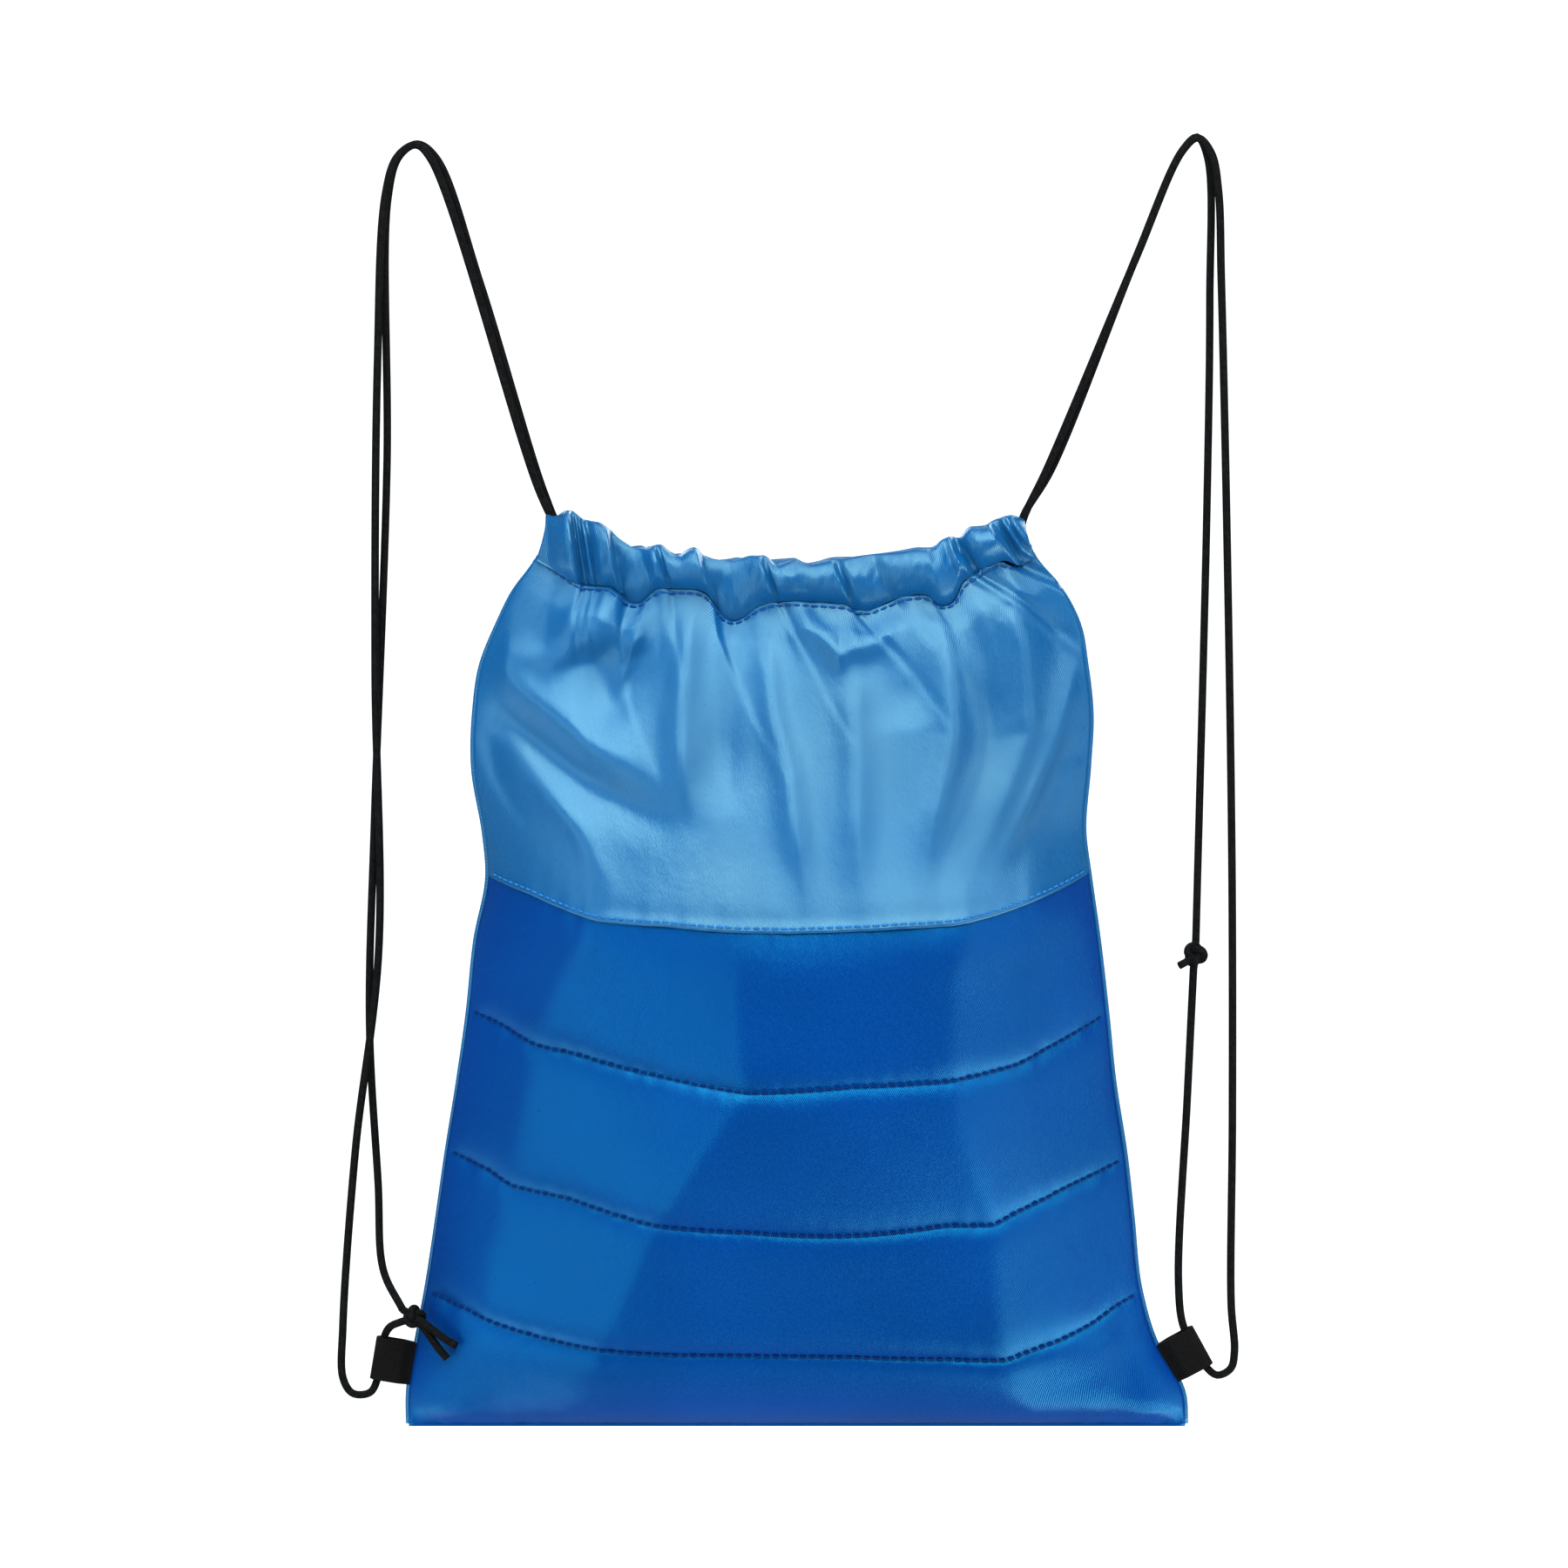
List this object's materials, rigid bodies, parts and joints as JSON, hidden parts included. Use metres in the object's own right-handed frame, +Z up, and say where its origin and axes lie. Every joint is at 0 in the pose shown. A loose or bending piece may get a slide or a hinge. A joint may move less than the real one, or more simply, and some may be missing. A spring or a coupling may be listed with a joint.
{
  "type": "quilted drawstring backpack",
  "caption": "Soft drawstring sack worn as a backpack, with a quilted padded lower front, a gathered mouth and long cords that are both drawstring and shoulder straps.",
  "frame": {"origin": "midway between the two cord loops, just under their tops, where the sack hangs", "axes": "+Z up, +X to the right for someone facing the quilted front, +Y from the front to the back that lies against the wearer"},
  "size_m": [0.4165, 0.1305, 0.5977],
  "materials": {
    "plain_cloth": "fine twill, soft sheen",
    "quilted_cloth": "fine twill over padding, soft sheen",
    "webbing": "ribbed, matte",
    "cord": "braided, matte"
  },
  "bodies": {
    "root": {"upper_front": "plain_cloth", "quilted_front": "quilted_cloth", "back_panel": "plain_cloth", "hem_front": "plain_cloth", "hem_back": "plain_cloth", "tab_left": "webbing", "tab_right": "webbing", "drawcord_left": "cord", "drawcord_right": "cord", "knot_left": "cord", "knot_right": "cord"}
  },
  "joints": []
}
